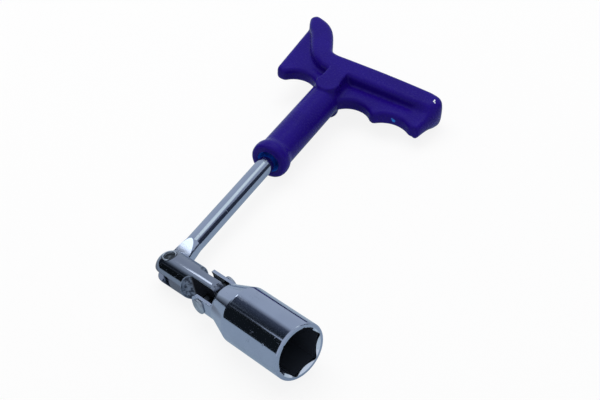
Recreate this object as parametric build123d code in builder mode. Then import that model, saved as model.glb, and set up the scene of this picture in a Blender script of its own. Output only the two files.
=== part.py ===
from build123d import *
import os

os.makedirs("parts", exist_ok=True)

# Sizes in millimetres, angles in degrees.
# Each joint piece is drawn about the pin that it turns on.

# Pose in which the tool lies on a bench
SHAFT_SWING = 17.2
SOCKET_TIP = 1.87
HANDLE_TURN = 13.8
LIE_ROLL = 4.5
LIE_PITCH = -6.7
LIE_YAW = 0.38

# Clearances
PIN_RUNNING = 0.05
SLOT_SIDE = 0.25

# Link
LINK_DIAMETER = 16.0
PIN_SPACING = 30.7
SLOT_DEPTH = 7.6
LINK_SHOULDER = 16.1
LINK_STEP_ROUND = 4.8
TONGUE_THICKNESS = 5.5
TONGUE_OVERRUN = 5.0
TONGUE_CORNER = 4.0

# Pin through the shaft end
SHAFT_PIN_DIAMETER = 6.3
SHAFT_PIN_BORE = 4.9
SHAFT_PIN_BORE_DEPTH = 3.0
SHAFT_PIN_RECESS = 0.3

# Pin through the socket
SOCKET_PIN_DIAMETER = 5.0
SOCKET_PIN_HEAD_DIAMETER = 7.4
SOCKET_PIN_HEAD_HEIGHT = 1.2
SOCKET_PIN_HEAD_EDGE = 0.4
HEAD_SEAT_DEPTH = 0.5
HEAD_SEAT_MARGIN = 0.1

# Socket
BARREL_DIAMETER = 27.0
MOUTH_REACH = 55.9
MOUTH_EDGE = 0.9
NECK_DIAMETER = 18.6
NECK_WALL = 1.5
NECK_REACH = 8.5
CONE_LENGTH = 12.0
SHOULDER_ROUND = 3.0
NECK_ROUND = 5.0
NEAR_EAR_REACH = 4.8
FAR_EAR_REACH = 10.6
EAR_WIDTH = 7.8
EAR_CORNER = 2.0
NECK_SLOT_DEPTH = 8.6
NECK_SLOT_CORNER = 1.5
HEX_ACROSS_FLATS = 21.0
HEX_TURN = 8.5
HEX_LEAD_IN = 1.2

# Rubber grip ring behind the hexagon
GRIP_DIAMETER = 21.0
GRIP_LENGTH = 12.0
GRIP_BORE = 9.6
GRIP_LIP = 1.2

# Shaft
SHAFT_DIAMETER = 8.8
SHAFT_END_THICKNESS = 5.0
SHAFT_END_WIDTH = 10.6
SHAFT_FLAT_LENGTH = 8.4
SHAFT_FLARE_LENGTH = 17.0
SHAFT_GRIPPED_LENGTH = 66.0

# Handle, measured from its palm line and its middle
PALM_REACH = 168.0
SLEEVE_DIAMETER = 17.2
SLEEVE_LENGTH = 84.0
COLLAR_DIAMETER = 20.1
COLLAR_LENGTH = 7.0
COLLAR_STEP = 2.0
COLLAR_STEP_DIAMETER = 18.4
COLLAR_BEAD = 0.8
MOUTH_ROUND = 1.6
MOUTH_RECESS_DIAMETER = 12.0
MOUTH_RECESS_DEPTH = 4.0
HUB_THICKNESS = 20.0
HUB_WIDTH = 10.8
HUB_KNOB_DIAMETER = 12.4
HUB_REACH = 30.0
HUB_DRAFT = 10.0
RAIL_DEPTH = 13.0
RAIL_RIGHT_THICKNESS = 16.4
RAIL_LEFT_THICKNESS = 17.0
RAIL_EDGE = 3.0
RAIL_LOWER_EDGE = 0.9
RIGHT_REACH = 57.8
RIGHT_CORNER = 5.4
RIGHT_BALL = 13.6
RIGHT_BALL_DROP = 7.4
END_SLOPE = 2.0
LEFT_REACH = 35.0
TOE_REACH = 32.4
WEB_THICKNESS = 8.0
LIP_EDGE = 2.5
END_BLOCK = 9.6
END_BLOCK_WIDTH = 13.2
END_INSET = 1.0
END_ROUND = 4.2
END_WALL = 3.6
END_WALL_FOOT = 0.4
TIP_INSET = 6.8
TIP_DROP = 28.6
TIP_ROUND = 3.2
CUSP_SHIFT = 1.3
CUSP_DROP = 29.2
CUSP_ROUND = 3.0
OUTER_GROOVE_SHIFT = 1.4
OUTER_GROOVE_DROP = 22.4
INNER_GROOVE_DROP = 22.6
INNER_GROOVE_FOOT = 29.0
TOE_PLACE = 26.6
TOE_DROP = 21.4
TOE_ROUND = 2.8
LEFT_GROOVE_PLACE = 20.5
LEFT_GROOVE_DROP = 16.9
LEFT_GROOVE_FOOT = 32.9
GROOVE_OVERLAP = 0.6

# Thumb horn, as points from the palm line and the middle
HORN_TIP_PLACE = 36.0
HORN_TIP_HEIGHT = 21.8
HORN_TIP_CORNER = 1.9
HORN_TOP_PLACE = 32.6
HORN_TOP_HEIGHT = 25.4
HORN_BROW_PLACE = 27.0
HORN_BROW_HEIGHT = 23.4
HORN_CREST_PLACE = 21.4
HORN_CREST_HEIGHT = 19.4
HORN_BREAST_PLACE = 16.2
HORN_BREAST_HEIGHT = 11.8
HORN_THROAT_PLACE = 12.2
HORN_THROAT_HEIGHT = 4.0
PALM_START = 4.0
BACK_PLACE = 30.0
BACK_HEIGHT = 11.5
HEEL_PLACE = 22.0
HEEL_DROP = 2.4
BELLY_PLACE = 12.4
BELLY_DROP = 10.9

# Values that follow from the sizes
link_radius = LINK_DIAMETER / 2
barrel_radius = BARREL_DIAMETER / 2
neck_radius = NECK_DIAMETER / 2
neck_bore_radius = neck_radius - NECK_WALL
barrel_start = NECK_REACH + CONE_LENGTH
ear_gap_start = -FAR_EAR_REACH - EAR_CORNER
hex_floor = barrel_start + GRIP_LENGTH
hex_depth = MOUTH_REACH - hex_floor
hex_flat_radius = HEX_ACROSS_FLATS / 2
grip_radius = GRIP_DIAMETER / 2
tongue_end = PIN_SPACING + TONGUE_OVERRUN
slot_width = SHAFT_END_THICKNESS + 2 * SLOT_SIDE
sleeve_radius = SLEEVE_DIAMETER / 2
sleeve_start = PALM_REACH - SLEEVE_LENGTH
shaft_end = sleeve_start + SHAFT_GRIPPED_LENGTH

# Link with a slot at one end and a flat tongue at the other
with BuildPart() as link:
    with BuildSketch(Plane.XY):
        with BuildLine():
            ThreePointArc(
                (-link_radius, 0),
                Vector(-link_radius, 0).rotate(Axis.Z, -45),
                (0, link_radius),
            )
            Polyline((0, link_radius), (tongue_end, link_radius), (tongue_end, 0), (-link_radius, 0))
        make_face()
    revolve(axis=Axis.X)
    # slot for the shaft end
    with BuildSketch(Plane.XZ.offset(-link_radius)):
        with Locations(((SLOT_DEPTH - link_radius) / 2, 0)):
            Rectangle(SLOT_DEPTH + link_radius, slot_width)
    extrude(amount=LINK_DIAMETER, mode=Mode.SUBTRACT)
    # milled flats that leave the tongue, with a round cutter's step
    for side in (-1, 1):
        with BuildSketch(Plane.XY.offset(-link_radius)) as milled_flat:
            with Locations(((LINK_SHOULDER + tongue_end) / 2, side * (TONGUE_THICKNESS / 2 + link_radius))):
                Rectangle(tongue_end - LINK_SHOULDER, LINK_DIAMETER)
            step_corner = milled_flat.vertices().sort_by_distance((LINK_SHOULDER, side * TONGUE_THICKNESS / 2))[0]
            fillet(step_corner, LINK_STEP_ROUND)
        extrude(amount=LINK_DIAMETER, mode=Mode.SUBTRACT)
    # rounded tongue corners
    with BuildSketch(Plane.XZ.offset(-link_radius)) as link_side:
        with Locations(((tongue_end - link_radius) / 2, 0)):
            Rectangle(tongue_end + link_radius, LINK_DIAMETER)
        fillet(link_side.vertices().group_by(Axis.X)[-1], TONGUE_CORNER)
    extrude(amount=LINK_DIAMETER, mode=Mode.INTERSECT)
    # bores for the two pins
    with BuildSketch(Plane.XY.offset(-link_radius)):
        Circle(SHAFT_PIN_DIAMETER / 2)
    extrude(amount=LINK_DIAMETER, mode=Mode.SUBTRACT)
    with BuildSketch(Plane.XZ.offset(-link_radius)):
        with Locations((PIN_SPACING, 0)):
            Circle(SOCKET_PIN_DIAMETER / 2 + PIN_RUNNING)
    extrude(amount=LINK_DIAMETER, mode=Mode.SUBTRACT)

# Hollow-ended pin that the shaft swings on
pin_top = link_radius - SHAFT_PIN_RECESS
with BuildPart() as shaft_pin:
    with BuildSketch(Plane.XY.offset(-pin_top)):
        Circle(SHAFT_PIN_DIAMETER / 2)
    extrude(amount=2 * pin_top)
    with BuildSketch(Plane.XY.offset(pin_top - SHAFT_PIN_BORE_DEPTH)):
        Circle(SHAFT_PIN_BORE / 2)
    extrude(amount=SHAFT_PIN_BORE_DEPTH, mode=Mode.SUBTRACT)
    with BuildSketch(Plane.XY.offset(-pin_top)):
        Circle(SHAFT_PIN_BORE / 2)
    extrude(amount=SHAFT_PIN_BORE_DEPTH, mode=Mode.SUBTRACT)

# Shaft with a flattened, flared lower end
shaft_radius = SHAFT_DIAMETER / 2
with BuildPart() as shaft:
    with BuildSketch(Plane.YZ):
        with BuildLine():
            Polyline(
                (0, 0),
                (0, SHAFT_END_WIDTH / 2),
                (SHAFT_FLAT_LENGTH, SHAFT_END_WIDTH / 2),
                (SHAFT_FLARE_LENGTH, shaft_radius),
                (shaft_end, shaft_radius),
                (shaft_end, 0),
                close=True,
            )
        make_face()
    revolve(axis=Axis.Y)
    with BuildSketch(Plane.XY.offset(-SHAFT_END_THICKNESS / 2)):
        Circle(SHAFT_END_WIDTH / 2)
    extrude(amount=SHAFT_END_THICKNESS)
    # flats on both faces, running out up the shaft
    for side in (-1, 1):
        with BuildSketch(Plane.YZ.offset(-SHAFT_END_WIDTH)):
            with BuildLine():
                Polyline(
                    (-SHAFT_END_WIDTH, side * SHAFT_END_THICKNESS / 2),
                    (SHAFT_FLAT_LENGTH, side * SHAFT_END_THICKNESS / 2),
                    (SHAFT_FLARE_LENGTH, side * shaft_radius),
                    (SHAFT_FLARE_LENGTH, side * SHAFT_DIAMETER),
                    (-SHAFT_END_WIDTH, side * SHAFT_DIAMETER),
                    close=True,
                )
            make_face()
        extrude(amount=2 * SHAFT_END_WIDTH, mode=Mode.SUBTRACT)
    with BuildSketch(Plane.XY.offset(-shaft_radius)):
        Circle(SHAFT_PIN_DIAMETER / 2 + PIN_RUNNING)
    extrude(amount=SHAFT_DIAMETER, mode=Mode.SUBTRACT)

# Socket: a swaged tube with two ears and a hexagon in its mouth
with BuildPart() as socket:
    with BuildSketch(Plane.XZ) as socket_profile:
        with BuildLine():
            Polyline(
                (-FAR_EAR_REACH, 0),
                (-FAR_EAR_REACH, neck_radius),
                (NECK_REACH, neck_radius),
                (barrel_start, barrel_radius),
                (MOUTH_REACH, barrel_radius),
                (MOUTH_REACH, 0),
                close=True,
            )
        make_face()
        fillet(socket_profile.vertices().sort_by_distance((NECK_REACH, neck_radius))[0], NECK_ROUND)
        fillet(socket_profile.vertices().sort_by_distance((barrel_start, barrel_radius))[0], SHOULDER_ROUND)
    revolve(axis=Axis.X)
    outer_rims = socket.edges().filter_by(GeomType.CIRCLE).group_by(Axis.X)
    fillet(outer_rims[-1], MOUTH_EDGE)
    # neck bore, ring seat and hexagon
    with BuildSketch(Plane.YZ.offset(-FAR_EAR_REACH)):
        Circle(neck_bore_radius)
    extrude(amount=FAR_EAR_REACH + barrel_start, mode=Mode.SUBTRACT)
    with BuildSketch(Plane.YZ.offset(barrel_start)):
        Circle(grip_radius)
    extrude(amount=GRIP_LENGTH, mode=Mode.SUBTRACT)
    with BuildSketch(Plane.YZ.offset(hex_floor)):
        RegularPolygon(hex_flat_radius, 6, major_radius=False, rotation=HEX_TURN)
    extrude(amount=hex_depth, mode=Mode.SUBTRACT)
    with BuildSketch(Plane.YZ.offset(MOUTH_REACH)):
        Circle(hex_flat_radius + HEX_LEAD_IN)
    with BuildSketch(Plane.YZ.offset(MOUTH_REACH - HEX_LEAD_IN)):
        Circle(hex_flat_radius)
    loft(mode=Mode.SUBTRACT)
    # wide slots that leave the two ears, one of them longer
    for side, reach in ((1, FAR_EAR_REACH), (-1, NEAR_EAR_REACH)):
        with BuildSketch(Plane.XZ) as ear_gap:
            with Locations(((NECK_SLOT_DEPTH + ear_gap_start) / 2, 0)):
                Rectangle(NECK_SLOT_DEPTH - ear_gap_start, BARREL_DIAMETER)
            with Locations(((NECK_SLOT_DEPTH - reach) / 2, 0)):
                Rectangle(NECK_SLOT_DEPTH + reach, EAR_WIDTH, mode=Mode.SUBTRACT)
            ear_corners = ear_gap.vertices().filter_by_position(Axis.Y, -EAR_WIDTH, EAR_WIDTH)
            fillet(ear_corners.filter_by_position(Axis.X, -reach - SLOT_SIDE, -reach + SLOT_SIDE), EAR_CORNER)
            slot_roots = ear_gap.vertices().filter_by_position(Axis.Y, -EAR_WIDTH, EAR_WIDTH).group_by(Axis.X)[-1]
            fillet(slot_roots, NECK_SLOT_CORNER)
        extrude(amount=-side * barrel_radius, mode=Mode.SUBTRACT)
    # pin bore and flat seats for the pin heads
    with BuildSketch(Plane.XZ.offset(-neck_radius)):
        Circle(SOCKET_PIN_DIAMETER / 2)
    extrude(amount=NECK_DIAMETER, mode=Mode.SUBTRACT)
    for side in (-1, 1):
        with BuildSketch(Plane.XZ.offset(side * (neck_radius - HEAD_SEAT_DEPTH))):
            Circle(SOCKET_PIN_HEAD_DIAMETER / 2 + HEAD_SEAT_MARGIN)
        extrude(amount=side * HEAD_SEAT_DEPTH, mode=Mode.SUBTRACT)

# Riveted pin that the socket swings on
head_seat = neck_radius - HEAD_SEAT_DEPTH
with BuildPart() as socket_pin:
    with BuildSketch(Plane.XZ.offset(-head_seat)):
        Circle(SOCKET_PIN_DIAMETER / 2)
    extrude(amount=2 * head_seat)
    for side in (-1, 1):
        with BuildSketch(Plane.XZ.offset(side * head_seat)):
            Circle(SOCKET_PIN_HEAD_DIAMETER / 2)
        extrude(amount=side * SOCKET_PIN_HEAD_HEIGHT)
    head_rims = socket_pin.edges().filter_by(GeomType.CIRCLE).group_by(Axis.Y)
    fillet(head_rims[0] + head_rims[-1], SOCKET_PIN_HEAD_EDGE)

# Rubber ring that holds the plug's insulator
with BuildPart() as plug_grip:
    with BuildSketch(Plane.YZ.offset(barrel_start)):
        Circle(grip_radius)
        Circle(GRIP_BORE / 2, mode=Mode.SUBTRACT)
    extrude(amount=GRIP_LENGTH)
    bore_rims = plug_grip.edges().filter_by(GeomType.CIRCLE).filter_by(lambda rim: rim.radius < grip_radius - PIN_RUNNING)
    chamfer(bore_rims, GRIP_LIP)

# Web of the handle, with finger grooves along its lower lip
groove_foot = sleeve_radius - GROOVE_OVERLAP
tip_place = RIGHT_REACH - TIP_INSET
cusp_place = (groove_foot + tip_place) / 2 - CUSP_SHIFT
inner_groove_place = (groove_foot + cusp_place) / 2
outer_groove_place = (cusp_place + tip_place) / 2 + OUTER_GROOVE_SHIFT
with BuildPart() as web:
    with BuildSketch(Plane.XY.offset(-WEB_THICKNESS / 2)) as web_outline:
        with BuildLine():
            ThreePointArc(
                (groove_foot, -INNER_GROOVE_FOOT),
                (inner_groove_place, -INNER_GROOVE_DROP),
                (cusp_place, -CUSP_DROP),
            )
            ThreePointArc(
                (cusp_place, -CUSP_DROP),
                (outer_groove_place, -OUTER_GROOVE_DROP),
                (tip_place, -TIP_DROP),
            )
            Polyline(
                (tip_place, -TIP_DROP),
                (RIGHT_REACH - END_SLOPE, -RAIL_DEPTH),
                (RIGHT_REACH - END_SLOPE, -RIGHT_CORNER),
                (-HORN_BREAST_PLACE, -RIGHT_CORNER),
                (-HORN_CREST_PLACE, HORN_BREAST_HEIGHT),
                (-LEFT_REACH, HORN_TIP_HEIGHT),
                (-TOE_REACH, -TOE_DROP),
                (-TOE_PLACE, -TOE_DROP),
            )
            ThreePointArc(
                (-TOE_PLACE, -TOE_DROP),
                (-LEFT_GROOVE_PLACE, -LEFT_GROOVE_DROP),
                (-groove_foot, -LEFT_GROOVE_FOOT),
            )
            Line((-groove_foot, -LEFT_GROOVE_FOOT), (groove_foot, -INNER_GROOVE_FOOT))
        make_face()
        fillet(web_outline.vertices().sort_by_distance((cusp_place, -CUSP_DROP))[0], CUSP_ROUND)
        fillet(web_outline.vertices().sort_by_distance((tip_place, -TIP_DROP))[0], TIP_ROUND)
        fillet(web_outline.vertices().sort_by_distance((-TOE_REACH, -TOE_DROP))[0], TOE_ROUND)
        fillet(web_outline.vertices().sort_by_distance((-TOE_PLACE, -TOE_DROP))[0], TOE_ROUND)
    extrude(amount=WEB_THICKNESS)
    lip_edges = web.edges().filter_by(lambda rim: abs(rim.tangent_at(0.5).Z) < 0.1)
    lip_edges = lip_edges.filter_by(lambda rim: rim.position_at(0.5).Y < -RAIL_DEPTH)
    lip_edges = lip_edges.filter_by(lambda rim: abs(rim.position_at(0.5).X) > groove_foot)
    fillet(lip_edges, LIP_EDGE)

# Closed right end between the rail and the fingertip lip
with BuildPart() as end_wall:
    with BuildSketch(Plane.XZ.offset(RAIL_DEPTH - RAIL_LOWER_EDGE)):
        with Locations((RIGHT_REACH - END_INSET - END_BLOCK / 2, 0)):
            RectangleRounded(END_BLOCK, END_BLOCK_WIDTH, END_ROUND)
    with BuildSketch(Plane.XZ.offset(TIP_DROP - TIP_ROUND)):
        with Locations((tip_place, 0)):
            SlotOverall(WEB_THICKNESS, 2 * TIP_ROUND, rotation=90)
    loft()
    # slanted inner face, where the finger pocket stops
    with BuildSketch(Plane.XY.offset(-HUB_THICKNESS)):
        with BuildLine():
            Polyline(
                (RIGHT_REACH - END_WALL, -RAIL_DEPTH + RAIL_EDGE),
                (tip_place - END_WALL_FOOT, -TIP_DROP),
                (0, -TIP_DROP),
                (0, -RAIL_DEPTH + RAIL_EDGE),
                close=True,
            )
        make_face()
    extrude(amount=2 * HUB_THICKNESS, mode=Mode.SUBTRACT)

# Palm rail with the thumb horn at its left end
bow_left = HORN_TIP_PLACE + RAIL_EDGE
bow_right = RIGHT_REACH + RAIL_EDGE
with BuildPart() as rail:
    with BuildSketch(Plane.XY.offset(-HUB_THICKNESS / 2)) as rail_outline:
        with BuildLine():
            Polyline(
                (-PALM_START, 0),
                (RIGHT_REACH, 0),
                (RIGHT_REACH, -RAIL_DEPTH),
                (0, -RAIL_DEPTH),
            )
            Spline(
                (0, -RAIL_DEPTH),
                (-BELLY_PLACE, -BELLY_DROP),
                (-HEEL_PLACE, -HEEL_DROP),
                (-BACK_PLACE, BACK_HEIGHT),
                (-HORN_TIP_PLACE, HORN_TIP_HEIGHT),
                tangents=((-1, 0), (-1, 3)),
            )
            ThreePointArc(
                (-HORN_TIP_PLACE, HORN_TIP_HEIGHT),
                (-HORN_TOP_PLACE - HORN_TIP_CORNER, HORN_TOP_HEIGHT - HORN_TIP_CORNER / 2),
                (-HORN_TOP_PLACE, HORN_TOP_HEIGHT),
            )
            Spline(
                (-HORN_TOP_PLACE, HORN_TOP_HEIGHT),
                (-HORN_BROW_PLACE, HORN_BROW_HEIGHT),
                (-HORN_CREST_PLACE, HORN_CREST_HEIGHT),
                (-HORN_BREAST_PLACE, HORN_BREAST_HEIGHT),
                (-HORN_THROAT_PLACE, HORN_THROAT_HEIGHT),
                (-PALM_START, 0),
                tangents=((3, -1), (1, 0)),
            )
        make_face()
        fillet(rail_outline.vertices().sort_by_distance((RIGHT_REACH, 0))[0], RIGHT_CORNER)
    extrude(amount=HUB_THICKNESS)
    # faces bowed so that both ends are thinner than the hub
    with BuildSketch(Plane.XZ.offset(-2 * HORN_TOP_HEIGHT)):
        with BuildLine():
            ThreePointArc(
                (-bow_left, RAIL_LEFT_THICKNESS / 2),
                (0, HUB_THICKNESS / 2),
                (bow_right, RAIL_RIGHT_THICKNESS / 2),
            )
            Line((bow_right, RAIL_RIGHT_THICKNESS / 2), (bow_right, -RAIL_RIGHT_THICKNESS / 2))
            ThreePointArc(
                (bow_right, -RAIL_RIGHT_THICKNESS / 2),
                (0, -HUB_THICKNESS / 2),
                (-bow_left, -RAIL_LEFT_THICKNESS / 2),
            )
            Line((-bow_left, -RAIL_LEFT_THICKNESS / 2), (-bow_left, RAIL_LEFT_THICKNESS / 2))
        make_face()
    extrude(amount=4 * HORN_TOP_HEIGHT, mode=Mode.INTERSECT)
    palm_edges = rail.edges().filter_by(lambda rim: abs(rim.tangent_at(0.5).Z) < 0.6)
    palm_edges = palm_edges.filter_by(lambda rim: rim.position_at(0.5).Y > -RAIL_DEPTH + RAIL_LOWER_EDGE)
    fillet(palm_edges, RAIL_EDGE)
    # ball-shaped lower corner at the right end
    with BuildPart(mode=Mode.SUBTRACT):
        with Locations((RIGHT_REACH, -RIGHT_BALL_DROP, 0)):
            Box(2 * RIGHT_BALL, 2 * RIGHT_BALL, HUB_THICKNESS, align=(Align.CENTER, Align.MAX, Align.CENTER))
        with Locations((RIGHT_REACH - RIGHT_BALL, -RIGHT_BALL_DROP, 0)):
            Sphere(RIGHT_BALL, mode=Mode.SUBTRACT)

# One-piece moulded handle
collar_radius = COLLAR_DIAMETER / 2
hub_knob_drop = HUB_REACH - HUB_KNOB_DIAMETER / 2
with BuildPart() as handle:
    # sleeve with a bead and a small step at its mouth
    with BuildSketch(Plane.YZ):
        with BuildLine():
            Polyline(
                (sleeve_start - PALM_REACH, 0),
                (sleeve_start - PALM_REACH, collar_radius - COLLAR_BEAD),
            )
            ThreePointArc(
                (sleeve_start - PALM_REACH, collar_radius - COLLAR_BEAD),
                (sleeve_start - PALM_REACH + COLLAR_LENGTH / 2, collar_radius),
                (sleeve_start - PALM_REACH + COLLAR_LENGTH, COLLAR_STEP_DIAMETER / 2),
            )
            Polyline(
                (sleeve_start - PALM_REACH + COLLAR_LENGTH, COLLAR_STEP_DIAMETER / 2),
                (sleeve_start - PALM_REACH + COLLAR_LENGTH + COLLAR_STEP, sleeve_radius),
                (-RAIL_DEPTH / 2, sleeve_radius),
                (-RAIL_DEPTH / 2, 0),
                (sleeve_start - PALM_REACH, 0),
            )
        make_face()
    revolve(axis=Axis.Y)
    mouth_rim = handle.edges().filter_by(GeomType.CIRCLE).group_by(Axis.Y)[0]
    fillet(mouth_rim, MOUTH_ROUND)
    # raised hub with a rounded lower end on both faces
    for side in (-1, 1):
        with BuildSketch(Plane.XY.offset(side * HUB_THICKNESS / 2)):
            with Locations((0, -(hub_knob_drop + RAIL_DEPTH - RAIL_EDGE) / 2)):
                Rectangle(HUB_WIDTH, hub_knob_drop - RAIL_DEPTH + RAIL_EDGE)
            with Locations((0, -hub_knob_drop)):
                Circle(HUB_KNOB_DIAMETER / 2)
        extrude(amount=-side * HUB_THICKNESS / 2, taper=-HUB_DRAFT)
    add(web.part)
    add(rail.part)
    add(end_wall.part)
    # moulded round the shaft
    with BuildSketch(Plane.ZX.offset(sleeve_start - PALM_REACH)):
        Circle(SHAFT_DIAMETER / 2)
    extrude(amount=SHAFT_GRIPPED_LENGTH, mode=Mode.SUBTRACT)
    with BuildSketch(Plane.ZX.offset(sleeve_start - PALM_REACH)):
        Circle(MOUTH_RECESS_DIAMETER / 2)
    with BuildSketch(Plane.ZX.offset(sleeve_start - PALM_REACH + MOUTH_RECESS_DEPTH)):
        Circle(SHAFT_DIAMETER / 2)
    loft(mode=Mode.SUBTRACT)

# Rest pose: each piece is set on the pin that it turns on
link_rest = Location((0, 0, 0), (LIE_ROLL, LIE_PITCH, LIE_YAW))
shaft_rest = link_rest * Location((0, 0, 0), (0, 0, SHAFT_SWING))
handle_rest = shaft_rest * Location((0, 0, 0), (0, HANDLE_TURN, 0)) * Location((0, PALM_REACH, 0))
socket_rest = link_rest * Location((PIN_SPACING, 0, 0), (0, SOCKET_TIP, 0))
pieces = {
    "handle": (handle, handle_rest),
    "shaft": (shaft, shaft_rest),
    "link": (link, link_rest),
    "shaft_pin": (shaft_pin, link_rest),
    "socket_pin": (socket_pin, socket_rest),
    "socket": (socket, socket_rest),
    "plug_grip": (plug_grip, socket_rest),
}

# The origin is on the bench, under the middle of the whole tool
whole = Compound(children=[rest * block.part for block, rest in pieces.values()])
box = whole.bounding_box()
on_bench = Location((-box.center().X, -box.center().Y, -box.min.Z))
for name, (block, rest) in pieces.items():
    placed = on_bench * rest * block.part
    placed.label = name
    export_step(placed, f"parts/{name}.step")
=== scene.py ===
"""Looks of a swivel spark plug wrench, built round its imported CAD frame.

The wrench lies on a pale floor: a moulded handle on a plated shaft, a forged link with two
riveted pins, and a swaged socket with a rubber ring inside. Everything is in metres, in the
frame of the CAD model.
"""

from __future__ import annotations

import logging
import math
from dataclasses import dataclass
from enum import Enum
from typing import Any, Iterable, Sequence

import bpy
import numpy as np
from mathutils import Matrix, Vector

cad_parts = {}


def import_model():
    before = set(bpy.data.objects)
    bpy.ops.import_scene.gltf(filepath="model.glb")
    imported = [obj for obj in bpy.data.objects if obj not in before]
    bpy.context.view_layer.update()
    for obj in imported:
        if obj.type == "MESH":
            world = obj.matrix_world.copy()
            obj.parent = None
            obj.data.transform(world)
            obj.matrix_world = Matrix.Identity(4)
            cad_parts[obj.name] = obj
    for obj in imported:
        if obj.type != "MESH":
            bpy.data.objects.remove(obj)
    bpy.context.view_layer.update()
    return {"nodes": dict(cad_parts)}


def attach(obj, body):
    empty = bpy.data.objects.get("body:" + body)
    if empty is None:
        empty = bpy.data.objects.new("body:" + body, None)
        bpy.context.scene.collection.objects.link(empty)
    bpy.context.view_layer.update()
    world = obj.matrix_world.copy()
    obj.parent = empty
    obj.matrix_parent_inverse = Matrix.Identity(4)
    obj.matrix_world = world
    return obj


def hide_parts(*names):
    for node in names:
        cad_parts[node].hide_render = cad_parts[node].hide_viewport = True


log = logging.getLogger("wrench")

MM = 0.001
Colour = tuple[float, float, float]
Place = tuple[float, float, float]
Wire = bpy.types.NodeSocket

# Numbers of the Mix node's sockets that carry colours.
MIX_FIRST = 6
MIX_SECOND = 7
MIX_RESULT = 2

# Places and directions of the tool at rest, in the frame of the CAD model.
SHAFT_PIN_CENTRE = Vector((2.2516, -81.3429, 8.1014)) * MM
SOCKET_PIN_CENTRE = Vector((32.7412, -81.421, 11.688)) * MM
MOUTH_CENTRE = Vector((88.4415, -81.4209, 16.4092)) * MM
PALM_CENTRE = Vector((-48.1441, 78.7816, 14.765)) * MM
LINK_ACROSS = Vector((-0.006587, 0.996956, 0.077686))
LINK_UP = Vector((-0.116671, -0.077923, 0.990109))
LINK_LINE = LINK_ACROSS.cross(LINK_UP)
SOCKET_LINE = Vector((0.996427, 0.000002, 0.084458))
SHAFT_LINE = Vector((-0.299974, 0.953122, 0.039664))
HANDLE_ACROSS = Vector((0.947286, 0.302527, -0.105482))
HANDLE_UP = Vector((0.112537, -0.005932, 0.99363))
SLEEVE_REACH = 84.0 * MM
SLEEVE_MOUTH = PALM_CENTRE - SHAFT_LINE * SLEEVE_REACH


class Body(Enum):
    """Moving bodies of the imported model."""

    HANDLE = "handle_and_shaft"
    LINK = "link"
    SOCKET = "socket"


class Slot(Enum):
    """Material slots of the record. Nothing in the script reads them."""

    HANDLE = "handle_plastic"
    PIN = "pin_steel"


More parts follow.
